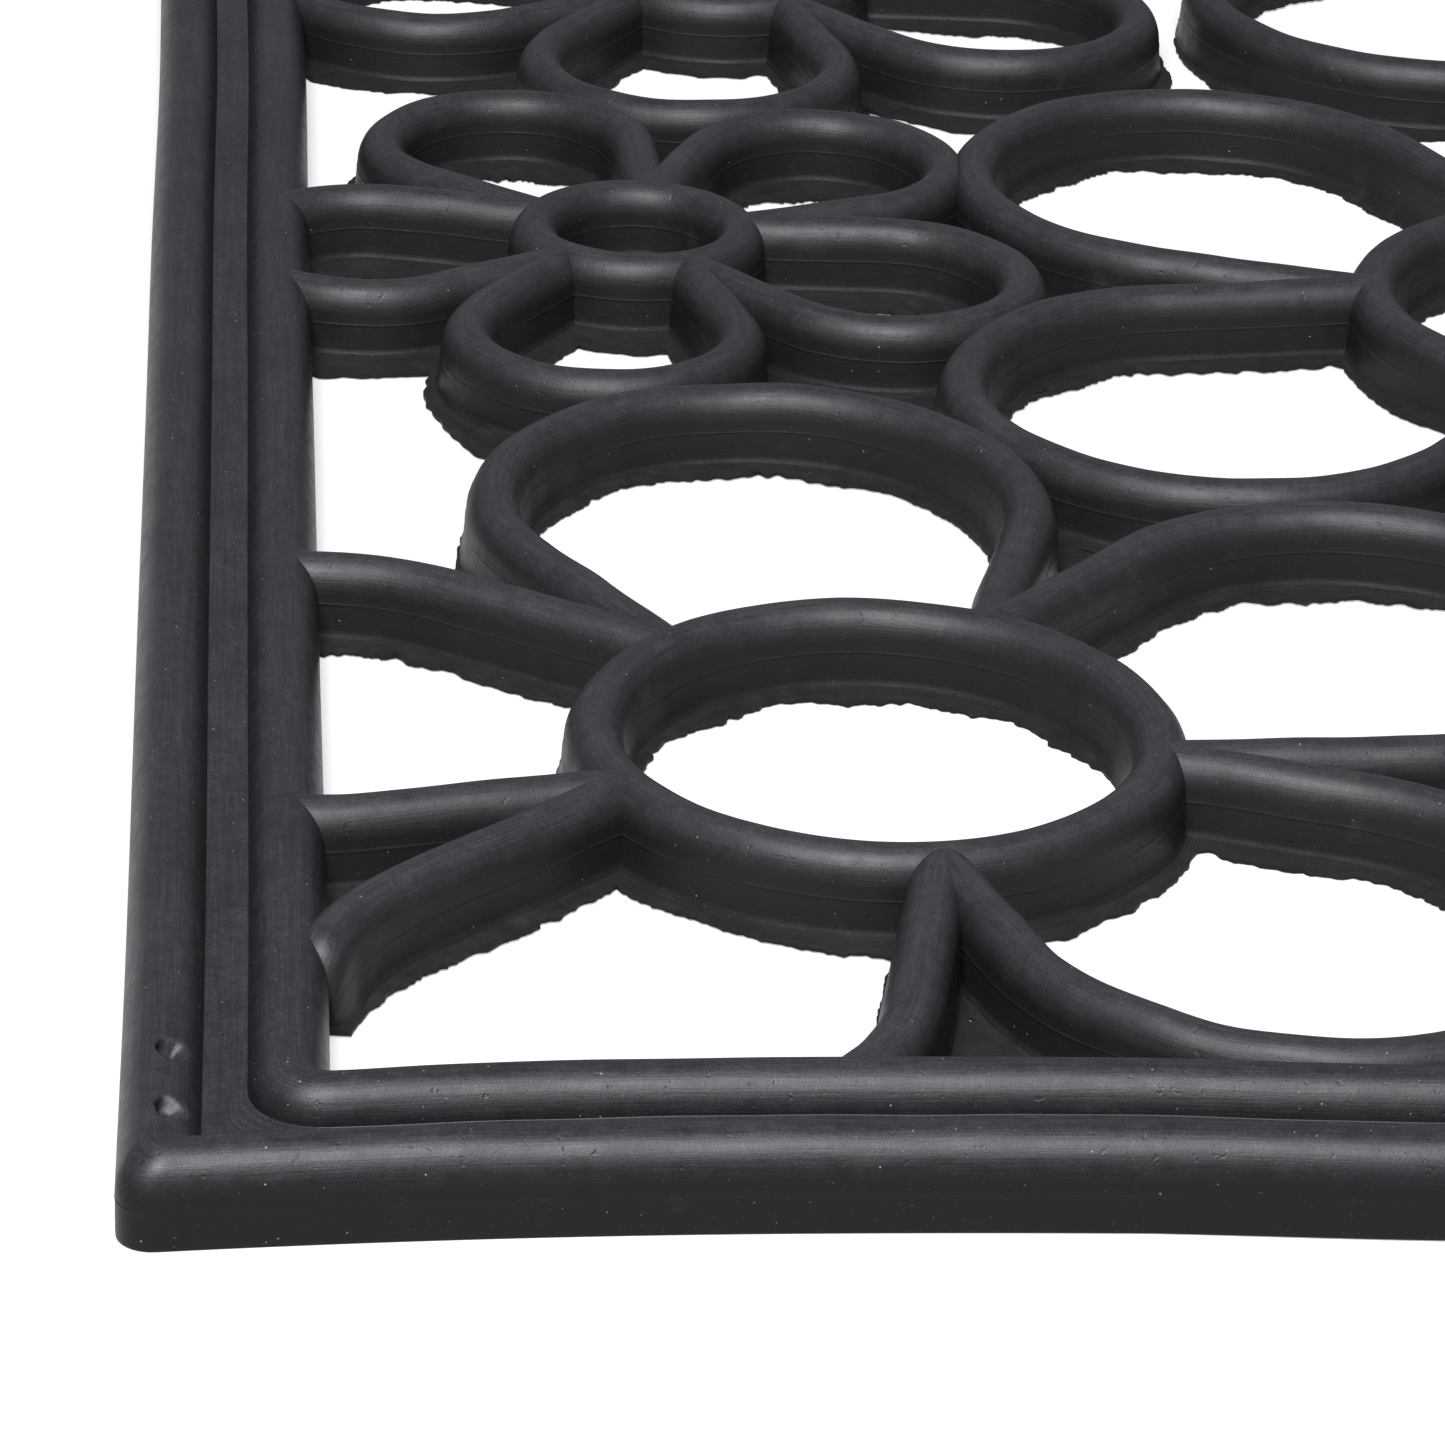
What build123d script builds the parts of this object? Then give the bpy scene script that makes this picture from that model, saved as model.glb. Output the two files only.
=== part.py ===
"""Moulded rubber door mat: a double-bead border around an open grille of five-petal ring flowers.

Frame: millimetres, +X along the long side, +Y towards the back, +Z up. The origin is on the floor
under the middle of the mat.
"""

import os
from collections import namedtuple
from math import asin, atan2, cos, degrees, hypot, radians, sin, sqrt

from build123d import *

# Driving dimensions of the whole mat
LENGTH = 750.0
WIDTH = 450.0
BORDER_HEIGHT = 9.6
GRILLE_HEIGHT = 9.5

# Border: an outer bead, a sunk channel and an inner bead
BEAD_WIDTH = 8.0
CHANNEL_WIDTH = 4.0
CHANNEL_FLOOR = 6.3
OUTER_CORNER_RADIUS = 3.5
INNER_CORNER_RADIUS = 7.5
BORDER_WIDTH = 2 * BEAD_WIDTH + CHANNEL_WIDTH
CHANNEL_START = BEAD_WIDTH
INNER_BEAD_START = BEAD_WIDTH + CHANNEL_WIDTH
INNER_BEAD_LINE = INNER_BEAD_START + BEAD_WIDTH / 2

# Grille: half-round bars, and the thin moulding skin left round their feet
BAR_WIDTH = 6.4
BAR_RADIUS = BAR_WIDTH / 2
PETAL_DROP = 0.15
WEB_THICKNESS = 0.8
WEB_LIFT = 0.1
CORNER_OPENING = 22.0
WEB_REACH = 2.5

# Flowers: radii of the bar centre lines of hub and petal, and the distance between the two centres
PETALS = 5
PETAL_ANGLE = 360 / PETALS
Flower = namedtuple("Flower", "hub petal reach")
LARGE = Flower(hub=30.2, petal=31.0, reach=62.3)
MEDIUM = Flower(hub=18.0, petal=20.5, reach=42.0)
SMALL = Flower(hub=13.2, petal=16.8, reach=35.0)

# Flowers of one half of the mat: X and Y of the hub from the front left corner, kind, and direction
# of the first petal in degrees. Each has a twin, turned half-way round the middle of the mat.
HALF_PATTERN = [
    (79, 93, LARGE, 25),
    (62, 241, SMALL, 44),
    (80, 347, MEDIUM, 44),
    (184, 218, LARGE, 65),
    (217, 34, MEDIUM, 65),
    (221, 382, LARGE, 13),
    (373, 68, MEDIUM, 50),
    (274, 124, SMALL, 52),
]
MIDDLE_FLOWER = (LENGTH / 2, WIDTH / 2, LARGE, 61)

# Petals of the corner flower, the first of the pattern, that differ from its kind, by their number
CORNER_PETALS = {3: Flower(30.2, 29.5, 64.5), 4: Flower(30.2, 30.0, 56.5)}

TALL = 4 * BORDER_HEIGHT
MIN_PIECE_VOLUME = 20.0
MIN_WEB_VOLUME = 1.0


def bead_outline(width, height):
    """Outline of a bead or bar: straight sides under a half-round top, foot on the X axis."""
    half = width / 2
    shoulder = height - half
    foot = Polyline((-half, shoulder), (-half, 0), (half, 0), (half, shoulder))
    crown = ThreePointArc((half, shoulder), (0, height), (-half, shoulder))
    return make_face(foot + crown)


def strip_outline(width, height):
    """Plain rectangular outline with its foot on the X axis."""
    return Rectangle(width, height, align=(Align.CENTER, Align.MIN))


def straight(outline, length):
    """Straight bar of the given outline along +X from the origin."""
    return extrude(Plane.YZ * outline, amount=length)


def curved(outline, radius, angle):
    """Curved bar of the given outline about +Z, starting on the X axis."""
    return revolve(Plane.XZ * (Pos(radius, 0) * outline), Axis.Z, angle)


def ring(outline, radius):
    """Closed ring of the given outline."""
    return curved(outline, radius, 360)


def solids_of(shape, smallest):
    """Solids of a shape without the crumbs that trimming can leave."""
    return [solid for solid in shape.solids() if solid.volume > smallest]


def side_wedge(length, width):
    """Mitred area of the border's front side, full height."""
    outline = Polyline(
        (-length / 2, -width / 2),
        (length / 2, -width / 2),
        (length / 2 - BORDER_WIDTH, -width / 2 + BORDER_WIDTH),
        (-length / 2 + BORDER_WIDTH, -width / 2 + BORDER_WIDTH),
        close=True,
    )
    return extrude(make_face(outline), amount=TALL)


def rounded_block(length, width, radius):
    """Tall block that rounds the upright corners of a frame."""
    return extrude(RectangleRounded(length, width, radius), amount=TALL)


def border_side(length, width, outline, start, span, corner_radius):
    """One strip of the border's front side: its outline, mitred ends and rounded corner."""
    strip = Pos(-length / 2, -width / 2 + start + span / 2) * straight(outline, length)
    strip = strip & side_wedge(length, width)
    if corner_radius:
        strip = strip & rounded_block(length - 2 * start, width - 2 * start, corner_radius)
    return strip


def inner_bead_nodes(pieces):
    """The four inner beads among the border's pieces."""
    return [piece for name, piece in pieces.items() if name.startswith("inner_bead")]


def border_pieces():
    """Outer bead, inner bead and channel of all four sides, by node name.

    The channel reaches under the inner bead's rounded corners, and the bead is cut out of it.
    """
    bead = bead_outline(BEAD_WIDTH, BORDER_HEIGHT)
    channel_span = CHANNEL_WIDTH + INNER_CORNER_RADIUS
    floor = strip_outline(channel_span, CHANNEL_FLOOR)
    strips = {
        "outer_bead": (bead, 0.0, BEAD_WIDTH, OUTER_CORNER_RADIUS),
        "inner_bead": (bead, INNER_BEAD_START, BEAD_WIDTH, INNER_CORNER_RADIUS),
        "channel": (floor, CHANNEL_START, channel_span, 0.0),
    }
    sides = {
        "front": (LENGTH, WIDTH, 0),
        "right": (WIDTH, LENGTH, 90),
        "back": (LENGTH, WIDTH, 180),
        "left": (WIDTH, LENGTH, 270),
    }
    pieces = {}
    for strip, (outline, start, span, corner_radius) in strips.items():
        for side, (length, width, turn) in sides.items():
            piece = Rot(0, 0, turn) * border_side(length, width, outline, start, span, corner_radius)
            if strip == "channel":
                piece = piece - inner_bead_nodes(pieces)
            pieces[f"{strip}_{side}"] = piece
    return pieces


def petal_loop(flower, outline):
    """One petal along +X: two legs from the hub and the round bow that joins them."""
    half = radians(PETAL_ANGLE / 2)
    root_x, root_y = flower.hub * cos(half), flower.hub * sin(half)
    to_centre = hypot(flower.reach - root_x, root_y)
    leg_length = sqrt(to_centre**2 - flower.petal**2)
    lean = asin(flower.petal / to_centre) - atan2(root_y, flower.reach - root_x)
    end_x = root_x + leg_length * cos(lean)
    end_y = root_y + leg_length * sin(lean)
    bow_half = degrees(atan2(end_y, end_x - flower.reach))
    bow = Pos(flower.reach, 0) * Rot(0, 0, -bow_half) * curved(outline, flower.petal, 2 * bow_half)
    left = Pos(root_x, root_y) * Rot(0, 0, degrees(lean)) * straight(outline, leg_length)
    right = Pos(root_x, -root_y) * Rot(0, 0, -degrees(lean)) * straight(outline, leg_length)
    return [bow, left, right]


def petal_turns():
    """Turn of each petal from the first one."""
    return [index * PETAL_ANGLE for index in range(PETALS)]


def place(x, y, turn):
    """Where a flower sits, from its hub's distance from the front left corner."""
    return Pos(x - LENGTH / 2, y - WIDTH / 2) * Rot(0, 0, turn)


def flower_places():
    """Every flower of the mat: place of the hub, and the kind that each of its petals follows."""
    flowers = []
    for index, (x, y, kind, turn) in enumerate(HALF_PATTERN):
        kinds = [kind] * PETALS
        if index == 0:
            kinds = [CORNER_PETALS.get(petal, kind) for petal in range(PETALS)]
        flowers.append((place(x, y, turn), kinds))
        flowers.append((place(LENGTH - x, WIDTH - y, turn + 180), kinds))
    x, y, kind, turn = MIDDLE_FLOWER
    flowers.append((place(x, y, turn), [kind] * PETALS))
    return flowers


def petals_of(where, kinds, outline):
    """The bars of a flower's petals, in place."""
    turned = zip(kinds, petal_turns())
    return [where * Rot(0, 0, turn) * bar for kind, turn in turned for bar in petal_loop(kind, outline)]


def petal_centres(where, kinds):
    """Centre on the floor and bow radius of each petal of a flower."""
    turned = zip(kinds, petal_turns())
    return [((where * Rot(0, 0, turn) * Pos(kind.reach, 0)).position, kind.petal) for kind, turn in turned]


def inside_border(shape, inner_beads):
    """The part of a grille shape inside the border, shaped to the inner beads it runs into."""
    box = shape.bounding_box()
    room_x, room_y = LENGTH / 2 - BORDER_WIDTH, WIDTH / 2 - BORDER_WIDTH
    if max(-box.min.X, box.max.X) < room_x and max(-box.min.Y, box.max.Y) < room_y:
        return shape
    line = 2 * INNER_BEAD_LINE
    shape = shape & Box(LENGTH - line, WIDTH - line, TALL)
    return shape - inner_beads - corner_blocks(CORNER_OPENING)


def corner_blocks(size):
    """Blocks of the clear areas in the border's four inner corners."""
    x, y = LENGTH / 2 - BORDER_WIDTH - size / 2, WIDTH / 2 - BORDER_WIDTH - size / 2
    block = Box(size, size, TALL)
    return [Pos(side_x * x, side_y * y) * block for side_x in (-1, 1) for side_y in (-1, 1)]


def trim_to_neighbours(shape, where, kinds, earlier):
    """Cut a flower back where its petals would run into petals of the earlier flowers."""
    own = petal_centres(where, kinds)
    for other_where, other_kinds in earlier:
        for centre, radius in petal_centres(other_where, other_kinds):
            reach = radius + BAR_RADIUS
            if any((centre - mine).length < petal + BAR_RADIUS + reach for mine, petal in own):
                shape = shape - Pos(centre.X, centre.Y) * Cylinder(reach, TALL)
    return shape


def flower_pieces(inner_beads):
    """Hub ring and petals of every flower, by node name."""
    hub_bar = bead_outline(BAR_WIDTH, GRILLE_HEIGHT)
    petal_bar = bead_outline(BAR_WIDTH, GRILLE_HEIGHT - PETAL_DROP)
    flowers = flower_places()
    pieces = {}
    for number, (where, kinds) in enumerate(flowers, 1):
        hub_radius = kinds[0].hub
        hub = where * ring(hub_bar, hub_radius)
        loops = petals_of(where, kinds, petal_bar)
        petals = loops[0] + loops[1:]
        petals = petals - where * Cylinder(hub_radius, TALL) - hub
        petals = trim_to_neighbours(petals, where, kinds, flowers[: number - 1])
        petals = solids_of(inside_border(petals, inner_beads), MIN_PIECE_VOLUME)
        hub = solids_of(inside_border(hub, inner_beads), MIN_PIECE_VOLUME)
        pieces[f"flower_{number:02d}_hub"] = Compound(hub)
        pieces[f"flower_{number:02d}_petals"] = Compound(petals)
    return pieces


def base_web():
    """Thin moulding skin round the feet of all bars."""
    wide = strip_outline(BAR_WIDTH + 2 * WEB_REACH, WEB_THICKNESS)
    narrow = strip_outline(BAR_WIDTH, WEB_THICKNESS)
    room_x, room_y = LENGTH - 2 * BORDER_WIDTH, WIDTH - 2 * BORDER_WIDTH
    room = Pos(0, 0, WEB_THICKNESS / 2) * Box(room_x, room_y, WEB_THICKNESS)
    skins, feet = [], []
    for where, kinds in flower_places():
        skins.append(where * ring(wide, kinds[0].hub))
        feet.append(where * ring(narrow, kinds[0].hub))
        skins += petals_of(where, kinds, wide)
        feet += petals_of(where, kinds, narrow)
    web = skins[0] + skins[1:]
    web = (web & room) - feet - corner_blocks(CORNER_OPENING - WEB_REACH)
    return Pos(0, 0, WEB_LIFT) * Compound(solids_of(web, MIN_WEB_VOLUME))


def main():
    """Build every piece and write one STEP file for each node."""
    pieces = border_pieces()
    pieces.update(flower_pieces(inner_bead_nodes(pieces)))
    pieces["base_web"] = base_web()
    os.makedirs("parts", exist_ok=True)
    for name, piece in pieces.items():
        export_step(piece, f"parts/{name}.step")


main()
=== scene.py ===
"""Looks of the moulded rubber door mat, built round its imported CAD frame. Lengths are in metres."""

import math

import bmesh
import bpy
import numpy as np
from mathutils import Matrix, Vector


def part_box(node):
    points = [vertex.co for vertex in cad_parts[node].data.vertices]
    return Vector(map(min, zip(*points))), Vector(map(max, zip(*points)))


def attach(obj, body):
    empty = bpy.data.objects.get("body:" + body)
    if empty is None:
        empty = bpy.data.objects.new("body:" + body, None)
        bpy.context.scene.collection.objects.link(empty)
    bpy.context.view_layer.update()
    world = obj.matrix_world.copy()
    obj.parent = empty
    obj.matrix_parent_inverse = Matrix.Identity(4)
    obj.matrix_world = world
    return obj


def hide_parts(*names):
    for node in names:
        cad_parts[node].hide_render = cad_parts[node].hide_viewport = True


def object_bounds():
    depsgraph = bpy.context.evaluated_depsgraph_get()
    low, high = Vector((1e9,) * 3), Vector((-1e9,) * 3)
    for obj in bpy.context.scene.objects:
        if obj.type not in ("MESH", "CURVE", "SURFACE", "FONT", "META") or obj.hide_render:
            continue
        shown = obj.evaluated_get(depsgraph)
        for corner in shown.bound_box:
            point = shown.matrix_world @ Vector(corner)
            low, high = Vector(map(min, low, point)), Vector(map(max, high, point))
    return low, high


MM = 0.001

# Bars, shaped as the CAD's sections
BAR_WIDTH = 6.4 * MM
PETAL_DROP = 0.15 * MM
PARTING_HEIGHT = 4.5 * MM
RIDGE = 0.035 * MM
DRAFT = 0.35 * MM
CROWN_RISE = 1.28
STEP = 1.0 * MM
CROWN_STEPS = 14
BEAD_STEPS = 22

# Flowers: petal radius and reach by hub radius, and the direction of each first petal in degrees
PETALS = 5
KINDS = {30.2: (31.0, 62.3), 18.0: (20.5, 42.0), 13.2: (16.8, 35.0)}
HALF_TURNS = (25, 44, 44, 65, 65, 13, 50, 52)
MIDDLE_TURN = 61

# Petals of the two corner flowers that differ from their kind; the clear area in the corner, where
# their bars end in a slope and the skin reaches a little further
CORNER_FLOWERS = (1, 2)
CORNER_PETALS = {3: (29.5, 64.5), 4: (30.0, 56.5)}
CORNER_OPENING = 22.0 * MM
END_LENGTH = 4.5 * MM
END_DROP = 5.5 * MM
END_NARROW = 1.2 * MM
BAR_END = CORNER_OPENING + END_LENGTH - 1.5 * MM
SKIN_END = CORNER_OPENING - 2 * MM

# Foot skin left by the mould: heights, widest reach by hub radius, and the gussets in its corners
SKIN_LOW = 0.1 * MM
SKIN_HIGH = 0.75 * MM
SKIN_EDGE = 0.62 * SKIN_HIGH
SKIN_LEAST = 0.2 * MM
SKIN_REACHES = {30.2: 4.0 * MM, 18.0: 5.5 * MM, 13.2: 8.0 * MM}
SKIN_STEP = 0.45 * MM
GUSSET_SHARE = 0.47
GUSSET_PULL = 0.8

# Gaps that the skin closes: distances from the left and front edges, and radius
SKIN_PATCHES = ((83.5 * MM, 32.0 * MM, 9.0 * MM), (108.0 * MM, 155.0 * MM, 4.0 * MM))

# Border corners
OUTER_CORNER_RADIUS = 3.8 * MM
INNER_CORNER_RADIUS = 8.0 * MM
TIGHT_CORNER = 0.4 * MM
CORNER_STEPS = 10

# How much deeper the channel looks than its CAD floor
CHANNEL_SINK = 0.5 * MM

# Unevenness of the flexible sheet: slow waves, and a front edge that bows in behind its corner.
# Places along the edge are measured from the left; BOW_DEPTH is how far back the bow stays full, and
# how quickly it then dies out
WAVE = 0.10 * MM
SWAY = 0.08 * MM
BOW_MIDDLE = 63 * MM
BOW_INWARD = 1.0 * MM
BOW_REACH = 2.7 * MM
BOW_LIMIT = 1.9 * MM
BOW_KINK = 97 * MM
BOW_FADE = (120 * MM, 205 * MM)
BOW_DEPTH = (18 * MM, 26 * MM)
PINCH_PLACE = (19 * MM, 17 * MM)
PINCH_SIZE = (13 * MM, 7 * MM)
PINCH = 0.85 * MM

# Two moulding pits on the inner flank of the left bead: distance from the front edge, and depth
PITS = ((10.9 * MM, 1.6 * MM), (22.2 * MM, 1.7 * MM))
PIT_INSET = 5.0 * MM
PIT_SIZE = 1.25 * MM

SIDES = ("front", "right", "back", "left")
SOFT_WHITE = (0.95, 0.975, 1.0)

# Rubber by slot: base colour, lighter colour painted on upward faces as painted top light, roughness, rarity
# of dust specks
RUBBERS = {
    "border_rubber": ((0.0030, 0.0028, 0.0031), (0.0150, 0.0156, 0.0178), 0.43, 0.72),
    "grille_rubber": ((0.0052, 0.0048, 0.0050), (0.0175, 0.0179, 0.0202), 0.46, 0.86),
    "skin_rubber": ((0.0036, 0.0032, 0.0032), (0.0075, 0.0071, 0.0073), 0.58, 0.90),
}


# ---------------------------------------------------------------- measures from the frame


def strip_span(strip):
    """Distances from the outer edge at which a border strip starts and ends."""
    low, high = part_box(f"{strip}_front")
    return low.y - MAT_LOW.y, high.y - MAT_LOW.y


def hub_place(number):
    """Centre and centre-line radius of a hub; one cut by the border keeps its round side."""
    low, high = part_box(f"flower_{number:02d}_hub")
    radius = (high.x - low.x) / 2
    centre_y = (low.y + high.y) / 2
    if high.y - low.y < 2 * radius - MM:
        centre_y = high.y - radius if centre_y < 0 else low.y + radius
    return Vector(((low.x + high.x) / 2, centre_y)), radius - BAR_WIDTH / 2


def kind_of(hub_radius):
    """Key of the kind of flower that has this hub."""
    return min(KINDS, key=lambda hub: abs(hub * MM - hub_radius))


# ---------------------------------------------------------------- noise and waves


def wave_noise(points, wavelength, seed, terms=14):
    """Smooth noise of about unit size: sines of mixed direction and phase."""
    rng = np.random.default_rng(seed)
    points = np.asarray(points, float)
    dims = points.shape[1]
    total = np.zeros(len(points))
    for _ in range(terms):
        direction = rng.normal(size=dims)
        direction /= np.linalg.norm(direction)
        rate = 2 * math.pi / (wavelength * rng.uniform(0.6, 1.7))
        total += np.sin(points @ direction * rate + rng.uniform(0, 2 * math.pi))
    return total / math.sqrt(terms / 2)


def ragged(lengths, seed):
    """Torn-edge noise along a line, from slow swings to small nicks."""
    line = np.asarray(lengths, float)[:, None]
    swings = 0.48 * MM * wave_noise(line, 22 * MM, seed)
    tears = 0.20 * MM * wave_noise(line, 5 * MM, seed + 1)
    nicks = 0.11 * MM * wave_noise(line, 1.8 * MM, seed + 2)
    return swings + tears + nicks


def bow(from_left):
    """How far the front edge lies behind its straight line, by distance from the left edge."""
    off = (from_left - BOW_MIDDLE) / BOW_MIDDLE
    inward = BOW_INWARD - np.where(off < 0, 1.07, 0.63) * BOW_REACH * off**2
    inward -= 0.034 * np.maximum(0, from_left - BOW_KINK)
    inward = np.where((off > 0) & (inward < 0), BOW_LIMIT * np.tanh(inward / BOW_LIMIT), inward)
    fade = np.clip((from_left - BOW_FADE[0]) / (BOW_FADE[1] - BOW_FADE[0]), 0, 1)
    return np.where(off > 2.4, 0, inward * (1 - fade * fade * (3 - 2 * fade)))


def settle(co):
    """Slow waves of the flexible sheet, the bow of its front edge and a pinch near its corner."""
    from_left = co[:, 0] - MAT_LOW.x
    from_front = co[:, 1] - MAT_LOW.y
    behind = np.maximum(0, from_front - BOW_DEPTH[0])
    front = np.exp(-((behind / BOW_DEPTH[1]) ** 2))
    along = (from_left - PINCH_PLACE[0]) / PINCH_SIZE[0]
    across = (from_front - PINCH_PLACE[1]) / PINCH_SIZE[1]
    pinch = np.exp(-(along**2) - across**2)
    wave = WAVE * (1 + wave_noise(co[:, :2], 130 * MM, 5) / 2)
    dents = 0.04 * MM * wave_noise(co, 17 * MM, 9) * np.clip(co[:, 2] / (3 * MM), 0, 1)
    out = co.copy()
    out[:, 2] += wave + dents
    out[:, 0] += SWAY * wave_noise(co[:, 1:2], 160 * MM, 21)
    out[:, 1] += front * bow(from_left) - PINCH * pinch
    return out


# ---------------------------------------------------------------- meshes


def mesh_object(name, verts, faces, uvs, material):
    """New smooth-shaded object; uvs are per vertex, in metres along and across the bar."""
    mesh = bpy.data.meshes.new(name)
    mesh.from_pydata([tuple(v) for v in verts], [], faces)
    layer = mesh.uv_layers.new(name="UVMap")
    loop_verts = np.empty(len(mesh.loops), np.int32)
    mesh.loops.foreach_get("vertex_index", loop_verts)
    layer.data.foreach_set("uv", np.asarray(uvs, np.float32)[loop_verts].ravel())
    mesh.materials.append(material)
    piece = bpy.data.objects.new(name, mesh)
    bpy.context.scene.collection.objects.link(piece)
    return piece


def join_parts(parts):
    """One vertex, face and UV list from several."""
    verts, faces, uvs, start = [], [], [], 0
    for part_verts, part_faces, part_uvs in parts:
        verts.append(part_verts)
        uvs.append(part_uvs)
        faces += [tuple(index + start for index in face) for face in part_faces]
        start += len(part_verts)
    return np.concatenate(verts), faces, np.concatenate(uvs)


def finish_mesh(piece, inside_of=None):
    """Cut the piece at a border line, let it settle like the rest, and shade it smooth."""
    mesh = piece.data
    bm = bmesh.new()
    bm.from_mesh(mesh)
    bmesh.ops.recalc_face_normals(bm, faces=bm.faces)
    if inside_of is not None:
        cut_outside(bm, inside_of)
    bm.to_mesh(mesh)
    bm.free()
    co = np.empty(len(mesh.vertices) * 3)
    mesh.vertices.foreach_get("co", co)
    mesh.vertices.foreach_set("co", settle(co.reshape(-1, 3)).ravel())
    mesh.shade_smooth()
    mesh.set_sharp_from_angle(angle=math.radians(42))
    mesh.update()
    return piece


def cut_outside(bm, inset):
    """Remove what lies outside the rectangle this far inside the mat's edge, and close the cuts."""
    walls = (
        (Vector((MAT_LOW.x + inset, 0, 0)), Vector((-1, 0, 0))),
        (Vector((MAT_HIGH.x - inset, 0, 0)), Vector((1, 0, 0))),
        (Vector((0, MAT_LOW.y + inset, 0)), Vector((0, -1, 0))),
        (Vector((0, MAT_HIGH.y - inset, 0)), Vector((0, 1, 0))),
    )
    for point, outward in walls:
        everything = bm.verts[:] + bm.edges[:] + bm.faces[:]
        cut = bmesh.ops.bisect_plane(
            bm, geom=everything, plane_co=point, plane_no=outward, clear_outer=True
        )
        rim = [edge for edge in cut["geom_cut"] if isinstance(edge, bmesh.types.BMEdge)]
        if rim:
            bmesh.ops.holes_fill(bm, edges=rim, sides=0)


def crown(half, rise, shoulder, steps):
    """Points up one side of a bead's round top, from its shoulder to just short of the crest."""
    angles = [math.pi * step / (2 * steps) for step in range(1, steps)]
    return [(half * math.cos(angle), shoulder + rise * math.sin(angle)) for angle in angles]


def bar_section(width, height):
    """Section of a moulded bar, from its left foot over the crown to its right foot."""
    half = width / 2
    rise = CROWN_RISE * half
    shoulder = height - rise
    line = half + DRAFT * 0.25
    side = [
        (half + DRAFT + 0.35 * MM, 0.0),
        (half + DRAFT + 0.26 * MM, 0.70 * MM),
        (half + DRAFT + 0.06 * MM, 1.00 * MM),
        (half + DRAFT * 0.9, 1.5 * MM),
        (half + DRAFT * 0.6, 2.8 * MM),
        (line + 0.02 * MM, PARTING_HEIGHT - 0.35 * MM),
        (line, PARTING_HEIGHT - 0.12 * MM),
        (line + RIDGE, PARTING_HEIGHT - 0.04 * MM),
        (line + RIDGE, PARTING_HEIGHT + 0.04 * MM),
        (line - 0.01 * MM, PARTING_HEIGHT + 0.12 * MM),
        (line - 0.02 * MM, PARTING_HEIGHT + 0.30 * MM),
        (half, shoulder),
    ]
    side += crown(half, rise, shoulder, CROWN_STEPS)
    left = [(-x, z) for x, z in side]
    return np.array(left + [(0.0, height)] + side[::-1])


def section_girth(section):
    """Distance of each section point along the section's outline."""
    steps = np.linalg.norm(np.diff(section, axis=0), axis=1)
    return np.concatenate([[0.0], np.cumsum(steps)])


def sweep(path, normals, section, closed, offset=0.0):
    """Sweep a section along a flat path; section may be one outline or one for each point."""
    count = len(path)
    sections = np.broadcast_to(section, (count,) + np.shape(section)[-2:])
    points = sections.shape[1]
    verts = np.empty((count, points, 3))
    verts[..., :2] = path[:, None, :] + normals[:, None, :] * sections[..., :1]
    verts[..., 2] = sections[..., 1]
    run = np.concatenate([[0.0], np.cumsum(np.linalg.norm(np.diff(path, axis=0), axis=1))])
    uvs = np.empty((count, points, 2))
    uvs[..., 0] = run[:, None] + offset
    uvs[..., 1] = section_girth(sections[0])[None, :]
    faces = []
    for i in range(count if closed else count - 1):
        here, there = i * points, (i + 1) % count * points
        for j in range(points):
            k = (j + 1) % points
            faces.append((here + j, here + k, there + k, there + j))
    if not closed:
        faces.append(tuple(range(points - 1, -1, -1)))
        faces.append(tuple(range((count - 1) * points, count * points)))
    return verts.reshape(-1, 3), faces, uvs.reshape(-1, 2)


def rounded_end(path, normals, sections, last):
    """Extra points and sections that round off the bar at the start or the end of its path."""
    tip, inner = (-1, -2) if last else (0, 1)
    along = path[tip] - path[inner]
    along = along / np.linalg.norm(along)
    steps = np.radians([8, 16, 24, 32, 40, 48, 56, 64, 72, 79, 85])
    more_path = path[tip] + END_LENGTH * np.sin(steps)[:, None] * along
    more_sections = np.repeat(sections[tip][None], len(steps), axis=0)
    inset = (1 - np.cos(steps))[:, None]
    width, height = np.abs(sections[tip][:, 0]).max(), sections[tip][:, 1].max()
    more_sections[..., 0] *= 1 - inset * END_NARROW / width
    more_sections[..., 1] *= 1 - inset * END_DROP / height
    more_normals = np.repeat(normals[tip][None], len(steps), axis=0)
    if last:
        pairs = ((path, more_path), (normals, more_normals), (sections, more_sections))
    else:
        pairs = ((more_path[::-1], path), (more_normals[::-1], normals), (more_sections[::-1], sections))
    return [np.concatenate(pair) for pair in pairs]


def in_corner(path, size):
    """Which points of a path lie in the clear area of one of the border's inner corners."""
    room_x = MAT_HIGH.x - BORDER_WIDTH
    room_y = MAT_HIGH.y - BORDER_WIDTH
    return (np.abs(path[:, 0]) > room_x - size) & (np.abs(path[:, 1]) > room_y - size)


def open_runs(path, size):
    """Index ranges of a path outside the corner's clear area."""
    keep = ~in_corner(path, size)
    edges = np.flatnonzero(np.diff(np.concatenate([[0], keep.astype(int), [0]])))
    return [(first, last) for first, last in zip(edges[::2], edges[1::2]) if last - first > 3]


def circle_path(centre, radius, step=STEP):
    """Points and outward normals round a circle."""
    count = max(48, int(2 * math.pi * radius / step))
    angles = np.arange(count) * 2 * math.pi / count
    normals = np.stack([np.cos(angles), np.sin(angles)], 1)
    return np.array(centre) + radius * normals, normals


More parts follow.
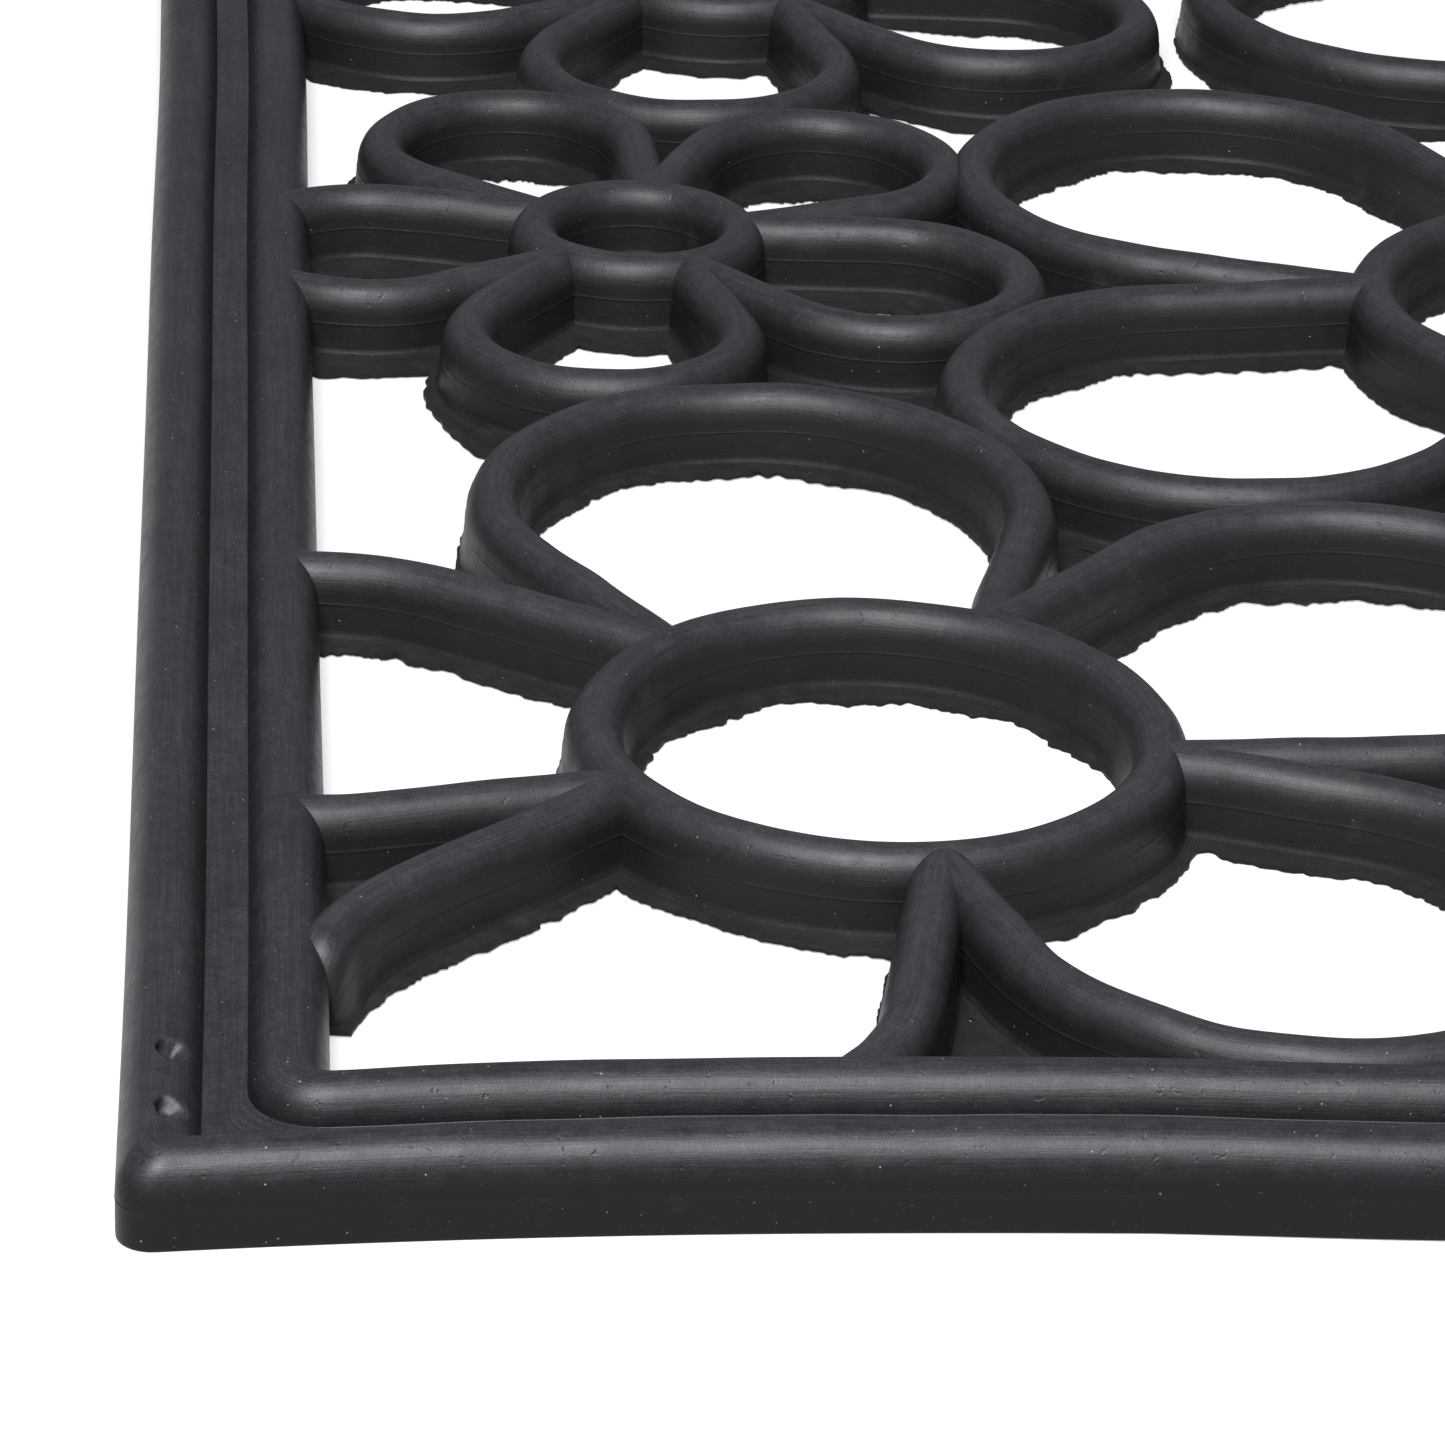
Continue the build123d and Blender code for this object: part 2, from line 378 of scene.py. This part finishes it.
def petal_path(centre, hub, petal, reach, turn, step):
    """Points and outward normals along one petal: a leg, the round bow and the other leg."""
    half = math.pi / PETALS
    root = np.array([hub * math.cos(half), hub * math.sin(half)])
    to_centre = math.hypot(reach - root[0], root[1])
    leg = math.sqrt(to_centre**2 - petal**2)
    lean = math.asin(petal / to_centre) - math.atan2(root[1], reach - root[0])
    end = root + leg * np.array([math.cos(lean), math.sin(lean)])
    bow_half = math.atan2(end[1], end[0] - reach)
    legs = np.linspace(0, 1, max(4, int(leg / step)), endpoint=False)[:, None]
    upper = root + legs * (end - root)
    leg_normal = np.array([-math.sin(lean), math.cos(lean)])
    angles = np.linspace(bow_half, -bow_half, max(24, int(2 * bow_half * petal / step)))
    bow_normals = np.stack([np.cos(angles), np.sin(angles)], 1)
    bow = np.array([reach, 0]) + petal * bow_normals
    flip = np.array([1, -1])
    points = np.concatenate([upper, bow, upper[::-1] * flip])
    normals = np.concatenate(
        [np.tile(leg_normal, (len(upper), 1)), bow_normals, np.tile(leg_normal * flip, (len(upper), 1))]
    )
    c, s = math.cos(turn), math.sin(turn)
    spin = np.array([[c, s], [-s, c]])
    return points @ spin + np.array(centre), normals @ spin


def petal_paths(number, centre, hub, turn, step=STEP):
    """The five petals' paths of one flower."""
    paths = []
    for index in range(PETALS):
        petal, reach = KINDS[kind_of(hub)]
        if number in CORNER_FLOWERS and index in CORNER_PETALS:
            petal, reach = CORNER_PETALS[index]
        angle = math.radians(turn + index * 360 / PETALS)
        paths.append(petal_path(centre, hub, petal * MM, reach * MM, angle, step))
    return paths


def wobbled(section, path, seed):
    """The section repeated along a path with the small unevenness of a moulding."""
    width = 1 + 0.012 * wave_noise(path, 11 * MM, seed) + 0.006 * wave_noise(path, 4 * MM, seed + 1)
    height = 1 + 0.006 * wave_noise(path, 14 * MM, seed + 2)
    sections = np.repeat(section[None], len(path), axis=0)
    sections[..., 0] *= width[:, None]
    sections[..., 1] *= height[:, None]
    return sections


def skin_sections(path, normals, reach, seed):
    """Thin ragged strip either side of a bar's foot, widest on the side that faces the front."""
    run = np.concatenate([[0.0], np.cumsum(np.linalg.norm(np.diff(path, axis=0), axis=1))])
    half = BAR_WIDTH / 2
    fade = np.minimum(1, np.minimum(run, run[-1] - run) / (9 * MM))
    forward = reach * (0.15 + 0.70 * np.maximum(0, normals[:, 1])) * (0.3 + 0.7 * fade)
    backward = reach * (0.15 + 0.70 * np.maximum(0, -normals[:, 1])) * (0.3 + 0.7 * fade)
    tear = fade * (0.35 + 0.65 * np.abs(normals[:, 1]))
    left = half + DRAFT + np.maximum(SKIN_LEAST, forward + tear * ragged(run, seed))
    right = half + DRAFT + np.maximum(SKIN_LEAST, backward + tear * ragged(run, seed + 50))
    low, high, inner = (np.full(len(path), value) for value in (SKIN_LOW, SKIN_HIGH, half))
    edge = SKIN_EDGE + 0.10 * MM * wave_noise(path, 5 * MM, seed + 9)
    outline = [(-left, low), (-left, edge), (-inner, high), (inner, high), (right, edge), (right, low)]
    return np.stack([np.stack(pair, 1) for pair in outline], 1)


def flat_patch(outline):
    """Thin plate of skin with this outline, its first point the hub of the fan of faces."""
    count = len(outline)
    top, bottom = (np.column_stack([outline, np.full(count, z)]) for z in (SKIN_EDGE, SKIN_LOW))
    faces = [(0, i, i + 1) for i in range(1, count - 1)]
    faces += [(count, count + i + 1, count + i) for i in range(1, count - 1)]
    faces += [(i, (i + 1) % count, count + (i + 1) % count, count + i) for i in range(count)]
    return np.concatenate([top, bottom]), faces, np.concatenate([outline, outline])


def gusset(root, first, second, seed):
    """Skin that rounds off the corner between two bars that meet at a root."""
    share = np.linspace(0, 1, 26)[:, None]
    pull = root + GUSSET_PULL * ((first + second) / 2 - root)
    curve = (1 - share) ** 2 * first + 2 * share * (1 - share) * pull + share**2 * second
    away = (first + second) / 2 - root
    away = away / np.linalg.norm(away)
    curve = curve + 0.14 * MM * wave_noise(curve, 2.2 * MM, seed)[:, None] * away
    return flat_patch(np.concatenate([root[None], curve]))


def flower_gussets(number, centre, hub, turn):
    """Rounded skin in the corners where a flower's petals leave its hub."""
    patches = []
    paths = [path for path, _ in petal_paths(number, centre, hub, turn, SKIN_STEP)]
    reach = GUSSET_SHARE * hub
    steps = int(reach / SKIN_STEP)
    for index, path in enumerate(paths):
        seed = 900 + 10 * number + index
        middle = math.radians(turn + index * 360 / PETALS)
        for sign, leg in ((1, path), (-1, path[::-1])):
            angle = middle + sign * (math.pi / PETALS - reach / hub)
            on_hub = np.array(centre) + hub * np.array([math.cos(angle), math.sin(angle)])
            patches.append(gusset(leg[0], on_hub, leg[steps], seed))
        following = paths[(index + 1) % PETALS][::-1]
        patches.append(gusset(path[0], path[steps], following[steps], seed + 5))
    return patches


def gap_patch(from_left, from_front, radius, seed):
    """Skin closing a small gap between bars."""
    angles = np.arange(60) * 2 * math.pi / 60
    ring = np.stack([np.cos(angles), np.sin(angles)], 1)
    rough = radius * (1 + 0.05 * wave_noise(ring, 0.6, seed))
    return flat_patch(np.array([MAT_LOW.x + from_left, MAT_LOW.y + from_front]) + rough[:, None] * ring)


# ---------------------------------------------------------------- border


def side_steps(length):
    """Fractions along a side: fine steps near both corners, wider ones between."""
    fine, wide, end = 0.40 * MM, 2.2 * MM, 32 * MM
    near = np.arange(fine, end, fine)
    middle = np.linspace(end, length - end, int((length - 2 * end) / wide))
    return np.concatenate([near, middle, (length - near)[::-1]]) / length


def inset_loop(inset, corner_radius):
    """Closed outline this far inside the mat's edge, with rounded or nearly sharp corners."""
    full_x, full_y = MAT_HIGH.x - MAT_LOW.x, MAT_HIGH.y - MAT_LOW.y
    half_x, half_y = full_x / 2 - inset, full_y / 2 - inset
    corners = ((1, -1, -90), (1, 1, 0), (-1, 1, 90), (-1, -1, 180))
    arcs = []
    for side_x, side_y, start in corners:
        middle = np.array([side_x * (half_x - corner_radius), side_y * (half_y - corner_radius)])
        angles = np.radians(start + 90 * np.arange(CORNER_STEPS + 1) / CORNER_STEPS)
        arcs.append(middle + corner_radius * np.stack([np.cos(angles), np.sin(angles)], 1))
    points = []
    for index, arc in enumerate(arcs):
        target = arcs[(index + 1) % 4][0]
        steps = side_steps(full_y if index % 2 == 0 else full_x)[:, None]
        points += [arc, arc[-1] + steps * (target - arc[-1])]
    return np.concatenate(points) + np.array([MAT_LOW.x + full_x / 2, MAT_LOW.y + full_y / 2])


def ring_mesh(section, corner_radii, span):
    """Closed border strip: each section point (inset, height) runs once round the mat.

    The corner radius changes evenly from the first to the second over the strip's span.
    """
    radii = np.interp([inset for inset, _ in section], span, corner_radii)
    loops = [inset_loop(inset, radius) for (inset, _), radius in zip(section, radii)]
    count, points = len(loops[0]), len(section)
    verts = np.empty((count, points, 3))
    for j, (loop, (_, height)) in enumerate(zip(loops, section)):
        verts[:, j, :2] = loop
        verts[:, j, 2] = height
    steps = np.linalg.norm(np.diff(loops[0], axis=0), axis=1)
    uvs = np.empty((count, points, 2))
    uvs[..., 0] = np.concatenate([[0.0], np.cumsum(steps)])[:, None]
    uvs[..., 1] = section_girth(np.array(section))[None, :]
    faces = []
    for i in range(count):
        here, there = i * points, (i + 1) % count * points
        for j in range(points):
            k = (j + 1) % points
            faces.append((here + j, here + k, there + k, there + j))
    return verts.reshape(-1, 3), faces, uvs.reshape(-1, 2)


def bead_section(start, end, height):
    """Section of a border bead as (inset, height) pairs."""
    return [(start + (end - start) / 2 + x, z) for x, z in bar_section_plain(end - start, height)]


def bar_section_plain(width, height):
    """Half-round bead on upright sides, with the mould's parting line on each side."""
    half = width / 2
    rise = CROWN_RISE * half
    shoulder = height - rise
    line = shoulder - 0.5 * MM
    side = [
        (half - 0.08 * MM, 0.0),
        (half - 0.02 * MM, 0.08 * MM),
        (half, 0.40 * MM),
        (half, 1.2 * MM),
        (half, line - 0.60 * MM),
        (half, line - 0.30 * MM),
        (half, line - 0.10 * MM),
        (half + RIDGE, line - 0.03 * MM),
        (half + RIDGE, line + 0.03 * MM),
        (half, line + 0.10 * MM),
        (half, line + 0.30 * MM),
        (half, shoulder),
    ]
    side += crown(half, rise, shoulder, BEAD_STEPS)
    return [(-x, z) for x, z in side] + [(0.0, height)] + side[::-1]


def channel_section(start, end, floor):
    """Section of the sunk channel, with a small fillet up each bead's foot."""
    rise = 0.30 * MM
    lap = 0.25 * MM
    left = [(start - 3 * lap, 0.0), (start - 3 * lap, floor - rise), (start - lap, floor + rise)]
    angles = (0.3, 0.6, 0.9, 1.2)
    left += [(start - lap + rise * (1 - math.cos(a)), floor + rise * (1 - math.sin(a))) for a in angles]
    left += [(start - lap + rise, floor)]
    right = [(start + end - inset, height) for inset, height in left[::-1]]
    middle = [(start + (end - start) * share, floor) for share in (0.35, 0.5, 0.65)]
    return left + middle + right


def pitted(verts):
    """The outer bead with its two moulding pits."""
    out = verts.copy()
    for from_front, depth in PITS:
        place = np.array([MAT_LOW.x + PIT_INSET, MAT_LOW.y + from_front])
        away = (verts[:, :2] - place) / (PIT_SIZE * np.array([0.95, 1.35]))
        angle = np.arctan2(away[:, 1], away[:, 0])
        rim = 1 + 0.10 * np.sin(3 * angle + 90 * from_front / MM)
        hollow = np.exp(-((np.linalg.norm(away, axis=1) / rim) ** 4.5))
        hollow *= verts[:, 2] > 6 * MM
        crumbs = 1 + 0.06 * wave_noise(verts, 1.6 * MM, 77)
        out += (depth * hollow * crumbs)[:, None] * np.array([-0.45, 0.0, -0.89])
    return out


def build_border(rubber):
    """The two beads and the channel between them, each running all round."""
    outer_start, outer_end = strip_span("outer_bead")
    inner_start, inner_end = strip_span("inner_bead")
    channel_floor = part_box("channel_front")[1].z - CHANNEL_SINK
    height = MAT_HIGH.z
    outer, inner = (outer_start, outer_end), (inner_start, inner_end)
    between = (outer_end, inner_start)
    strips = (
        ("outer_bead", bead_section(*outer, height), (OUTER_CORNER_RADIUS, TIGHT_CORNER), outer),
        ("inner_bead", bead_section(*inner, height), (INNER_CORNER_RADIUS, TIGHT_CORNER), inner),
        ("channel", channel_section(*between, channel_floor), (TIGHT_CORNER, INNER_CORNER_RADIUS), between),
    )
    for name, section, corner_radii, span in strips:
        verts, faces, uvs = ring_mesh(section, corner_radii, span)
        verts = pitted(verts) if name == "outer_bead" else verts
        piece = finish_mesh(mesh_object(f"{name}_moulding", verts, faces, uvs, rubber))
        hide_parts(*[f"{name}_{side}" for side in SIDES])
        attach(piece, "root")


# ---------------------------------------------------------------- grille


def flower_list():
    """Number, hub centre, hub radius and turn of every flower."""
    flowers = []
    for index, turn in enumerate(HALF_TURNS):
        for twin in (0, 1):
            number = 2 * index + 1 + twin
            flowers.append((number, *hub_place(number), turn + 180 * twin))
    number = 2 * len(HALF_TURNS) + 1
    flowers.append((number, *hub_place(number), MIDDLE_TURN))
    return flowers


def build_flower(number, centre, hub, turn, cut, rubber):
    """Hub ring and petals of one flower, shaped like its CAD nodes."""
    hub_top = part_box(f"flower_{number:02d}_hub")[1].z
    section = bar_section(BAR_WIDTH, hub_top)
    path, normals = circle_path(centre, hub)
    verts, faces, uvs = sweep(path, normals, wobbled(section, path, number), True)
    piece = mesh_object(f"flower_{number:02d}_hub_moulding", verts, faces, uvs, rubber)
    finish_mesh(piece, cut)
    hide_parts(f"flower_{number:02d}_hub")
    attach(piece, "root")

    section = bar_section(BAR_WIDTH, hub_top - PETAL_DROP)
    parts = []
    for index, (path, normals) in enumerate(petal_paths(number, centre, hub, turn)):
        for first, last in open_runs(path, BAR_END):
            run, run_normals = path[first:last], normals[first:last]
            sections = wobbled(section, run, 100 + number)
            if first > 0:
                run, run_normals, sections = rounded_end(run, run_normals, sections, False)
            if last < len(path):
                run, run_normals, sections = rounded_end(run, run_normals, sections, True)
            parts.append(sweep(run, run_normals, sections, False, offset=index * 0.37))
    verts, faces, uvs = join_parts(parts)
    piece = mesh_object(f"flower_{number:02d}_petals_moulding", verts, faces, uvs, rubber)
    finish_mesh(piece, cut)
    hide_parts(f"flower_{number:02d}_petals")
    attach(piece, "root")


def build_skin(flowers, cut, rubber):
    """The thin torn skin round the feet of the bars, in their corners and in two small gaps."""
    parts = []
    for number, centre, hub, turn in flowers:
        reach = SKIN_REACHES[kind_of(hub)]
        path, normals = circle_path(centre, hub, SKIN_STEP)
        parts.append(sweep(path, normals, skin_sections(path, normals, reach, 300 + number), True))
        for index, (path, normals) in enumerate(petal_paths(number, centre, hub, turn, SKIN_STEP)):
            for first, last in open_runs(path, SKIN_END):
                run, run_normals = path[first:last], normals[first:last]
                sections = skin_sections(run, run_normals, reach, 400 + 10 * number + index)
                parts.append(sweep(run, run_normals, sections, False))
        parts += flower_gussets(number, centre, hub, turn)
    parts += [gap_patch(*patch, seed) for seed, patch in enumerate(SKIN_PATCHES)]
    verts, faces, uvs = join_parts(parts)
    piece = mesh_object("base_web_skin", verts, faces, uvs, rubber)
    finish_mesh(piece, cut)
    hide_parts("base_web")
    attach(piece, "root")


# ---------------------------------------------------------------- materials


class Nodes:
    """Short way to add and wire shader nodes."""

    def __init__(self, name):
        self.material = bpy.data.materials.new(name)
        self.material.use_nodes = True
        self.tree = self.material.node_tree
        self.shader = self.tree.nodes["Principled BSDF"]

    def add(self, kind, **values):
        """New node; values are its properties."""
        node = self.tree.nodes.new(kind)
        for key, value in values.items():
            setattr(node, key, value)
        return node

    def wire(self, source, target):
        """Join an output socket to an input socket."""
        self.tree.links.new(source, target)

    def noise(self, vector, scale, detail=4.0, roughness=0.55):
        """Noise texture's value output."""
        node = self.add("ShaderNodeTexNoise")
        node.inputs["Scale"].default_value = scale
        node.inputs["Detail"].default_value = detail
        node.inputs["Roughness"].default_value = roughness
        self.wire(vector, node.inputs["Vector"])
        return node.outputs["Fac"]

    def along_bar(self, uv, lengthwise, across):
        """Noise drawn out along the bar."""
        stretch = self.add("ShaderNodeMapping")
        stretch.inputs["Scale"].default_value = (lengthwise, across, 1.0)
        self.wire(uv, stretch.inputs["Vector"])
        return self.noise(stretch.outputs["Vector"], 1.0, 3.0)

    def ramp(self, value, low, high, bottom=0.0, top=1.0):
        """Value mapped from low..high to bottom..top, kept in range."""
        node = self.add("ShaderNodeMapRange")
        for name, number in (("From Min", low), ("From Max", high), ("To Min", bottom), ("To Max", top)):
            node.inputs[name].default_value = number
        self.wire(value, node.inputs["Value"])
        return node.outputs["Result"]

    def specks(self, vector, scale, rarity, strength):
        """Scattered dots of mixed strength; only cells whose chance beats the rarity have one."""
        cells = self.add("ShaderNodeTexVoronoi")
        cells.inputs["Scale"].default_value = scale
        self.wire(vector, cells.inputs["Vector"])
        chance = self.add("ShaderNodeSeparateColor")
        self.wire(cells.outputs["Color"], chance.inputs[0])
        dots = self.ramp(cells.outputs["Distance"], 0.03, 0.11, strength, 0.0)
        dots = self.maths("MULTIPLY", dots, self.ramp(chance.outputs[0], rarity, rarity + 0.01))
        return self.maths("MULTIPLY", dots, self.ramp(chance.outputs[1], 0.0, 1.0, 0.15, 1.0))

    def maths(self, operation, first, second):
        """Maths on two sockets or numbers."""
        node = self.add("ShaderNodeMath", operation=operation)
        for socket, value in zip(node.inputs, (first, second)):
            if isinstance(value, (int, float)):
                socket.default_value = value
            else:
                self.wire(value, socket)
        return node.outputs[0]

    def mix(self, factor, first, second):
        """Mix of two colours by a value socket."""
        node = self.add("ShaderNodeMix", data_type="RGBA")
        self.wire(factor, node.inputs["Factor"])
        sockets = [socket for socket in node.inputs if socket.type == "RGBA"]
        for socket, value in zip(sockets, (first, second)):
            if isinstance(value, tuple):
                socket.default_value = (*value, 1.0)
            else:
                self.wire(value, socket)
        return next(socket for socket in node.outputs if socket.type == "RGBA")


def rubber_material(name, base, top_light_colour, roughness, dusty):
    """Black moulded rubber: painted top light (a lighter colour on upward faces), grain, streaks along the
    bar, pits and dust.
    """
    n = Nodes(name)
    place = n.add("ShaderNodeTexCoord")
    geometry = n.add("ShaderNodeNewGeometry")
    split = n.add("ShaderNodeSeparateXYZ")
    n.wire(geometry.outputs["Normal"], split.inputs[0])
    up = n.ramp(split.outputs["Z"], 0.10, 0.90)

    streaks = n.along_bar(place.outputs["UV"], 140.0, 5200.0)
    bands = n.along_bar(place.outputs["UV"], 45.0, 1300.0)
    grain = n.noise(place.outputs["Object"], 3800.0, 3.0, 0.7)
    mottle = n.noise(place.outputs["Object"], 420.0, 6.0, 0.65)
    patches = n.noise(place.outputs["Object"], 55.0, 4.0, 0.6)
    stains = n.noise(place.outputs["Object"], 120.0, 5.0, 0.65)

    # Painted top light: a lighter bluish grey, mottled by grain, streaks and patches, mixed in by how far
    # each face turns upward (up).
    top_light_share = n.maths("MULTIPLY", n.ramp(mottle, 0.30, 0.70, 0.45, 1.0), n.ramp(patches, 0.3, 0.7, 0.7, 1.1))
    top_light_share = n.maths("MULTIPLY", top_light_share, n.ramp(streaks, 0.33, 0.67, 0.6, 1.25))
    top_light_share = n.maths("MULTIPLY", top_light_share, n.ramp(bands, 0.33, 0.67, 0.75, 1.2))
    top_light_share = n.maths("MULTIPLY", top_light_share, n.ramp(grain, 0.35, 0.70, 0.5, 1.5))
    colour = n.mix(n.maths("MULTIPLY", top_light_share, up), base, top_light_colour)
    colour = n.mix(n.ramp(stains, 0.62, 0.76, 0.0, 0.30), colour, (0.026, 0.021, 0.017))
    coarse = n.specks(place.outputs["Object"], 950.0, dusty + 0.08, 1.0)
    fine = n.specks(place.outputs["Object"], 2300.0, dusty - 0.10, 0.5)
    dust = n.maths("MAXIMUM", coarse, fine)
    colour = n.mix(n.maths("MULTIPLY", dust, 0.7), colour, (0.30, 0.29, 0.28))
    n.wire(colour, n.shader.inputs["Base Color"])

    uneven = n.ramp(mottle, 0.30, 0.70, roughness - 0.05, roughness + 0.07)
    rough = n.maths("ADD", uneven, n.ramp(streaks, 0.3, 0.7, -0.04, 0.04))
    n.wire(rough, n.shader.inputs["Roughness"])
    n.shader.inputs["Specular IOR Level"].default_value = 0.17

    pits = n.ramp(n.noise(place.outputs["Object"], 900.0, 2.0, 0.5), 0.24, 0.34)
    height = n.maths("MULTIPLY", grain, 0.34)
    height = n.maths("ADD", height, n.maths("MULTIPLY", streaks, 0.28))
    height = n.maths("ADD", height, n.maths("MULTIPLY", bands, 0.30))
    height = n.maths("ADD", height, n.maths("MULTIPLY", mottle, 0.60))
    height = n.maths("ADD", height, n.maths("MULTIPLY", pits, 0.50))
    height = n.maths("ADD", height, n.maths("MULTIPLY", dust, 0.6))
    bump = n.add("ShaderNodeBump")
    bump.inputs["Strength"].default_value = 0.75
    bump.inputs["Distance"].default_value = 0.09 * MM
    n.wire(height, bump.inputs["Height"])
    n.wire(bump.outputs["Normal"], n.shader.inputs["Normal"])
    return n.material


def floor_material():
    """Plain pale floor, lit until it looks white."""
    n = Nodes("pale_floor")
    n.shader.inputs["Base Color"].default_value = (0.22, 0.22, 0.22, 1.0)
    n.shader.inputs["Roughness"].default_value = 0.9
    n.shader.inputs["Specular IOR Level"].default_value = 0.1
    n.shader.inputs["Emission Color"].default_value = (1.0, 1.0, 1.0, 1.0)
    n.shader.inputs["Emission Strength"].default_value = 0.46
    return n.material


# ---------------------------------------------------------------- stage


def build_floor():
    """Plain pale floor."""
    half = 6.0
    mesh = bpy.data.meshes.new("floor")
    corners = [(-half, -half, 0), (half, -half, 0), (half, half, 0), (-half, half, 0)]
    mesh.from_pydata(corners, [], [(0, 1, 2, 3)])
    mesh.materials.append(floor_material())
    floor = bpy.data.objects.new("floor", mesh)
    bpy.context.scene.collection.objects.link(floor)


def add_camera():
    """Long-lens view of the front left corner, from the front and above, leaning a little."""
    position = Vector((MAT_LOW.x + 12.2 * MM, MAT_LOW.y - 490.3 * MM, 288.4 * MM))
    yaw, pitch, roll = math.radians(4.92), math.radians(25.52), math.radians(2.10)
    forward = Vector((math.sin(yaw) * math.cos(pitch), math.cos(yaw) * math.cos(pitch), -math.sin(pitch)))
    level = Vector((math.cos(yaw), -math.sin(yaw), 0))
    up = level.cross(forward)
    right = math.cos(roll) * level + math.sin(roll) * up
    top = math.cos(roll) * up - math.sin(roll) * level
    data = bpy.data.cameras.new("camera")
    data.sensor_width = 36.0
    data.lens = 152.2
    data.clip_start, data.clip_end = 0.05, 20.0
    camera = bpy.data.objects.new("camera", data)
    camera.matrix_world = Matrix((right, top, -forward)).transposed().to_4x4()
    camera.location = position
    bpy.context.scene.collection.objects.link(camera)
    bpy.context.scene.camera = camera


def area_light(name, location, target, size, power, colour=(1.0, 1.0, 1.0)):
    """Soft square light."""
    data = bpy.data.lights.new(name, "AREA")
    data.shape = "SQUARE"
    data.size = size
    data.energy = power
    data.color = colour
    light = bpy.data.objects.new(name, data)
    light.location = location
    light.rotation_euler = (Vector(target) - Vector(location)).to_track_quat("-Z", "Y").to_euler()
    bpy.context.scene.collection.objects.link(light)


def add_lights():
    """A softbox high in front, a smaller one near the corner, and a dim pale room."""
    corner = Vector((MAT_LOW.x + 60 * MM, MAT_LOW.y + 60 * MM, 0))
    aim = corner + Vector((0, 0.12, 0))
    area_light("softbox", corner + Vector((-0.15, -0.86, 1.62)), aim, 0.95, 112.0, SOFT_WHITE)
    area_light("near_box", corner + Vector((-0.15, -0.25, 0.43)), corner, 0.15, 1.9, SOFT_WHITE)
    world = bpy.data.worlds.new("room")
    bpy.context.scene.world = world
    world.use_nodes = True
    background = world.node_tree.nodes["Background"]
    background.inputs["Color"].default_value = (0.93, 0.95, 1.0, 1.0)
    background.inputs["Strength"].default_value = 0.33
    bpy.context.scene.view_settings.view_transform = "Standard"
    bpy.context.scene.view_settings.look = "None"


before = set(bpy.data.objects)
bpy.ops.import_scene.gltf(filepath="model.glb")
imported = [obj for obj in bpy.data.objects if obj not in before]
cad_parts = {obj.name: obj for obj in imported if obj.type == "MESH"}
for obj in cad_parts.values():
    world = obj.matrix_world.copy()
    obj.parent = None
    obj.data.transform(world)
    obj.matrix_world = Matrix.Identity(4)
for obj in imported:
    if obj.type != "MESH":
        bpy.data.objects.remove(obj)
CAD_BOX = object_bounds()
MAT_LOW, MAT_HIGH = CAD_BOX

add_camera()
add_lights()
build_floor()

BORDER_RUBBER, GRILLE_RUBBER, SKIN_RUBBER = (rubber_material(name, *look) for name, look in RUBBERS.items())

BORDER_WIDTH = strip_span("inner_bead")[1]
CUT_LINE = sum(strip_span("inner_bead")) / 2
FLOWERS = flower_list()
build_border(BORDER_RUBBER)
for flower in FLOWERS:
    build_flower(*flower, CUT_LINE, GRILLE_RUBBER)
build_skin(FLOWERS, CUT_LINE, SKIN_RUBBER)
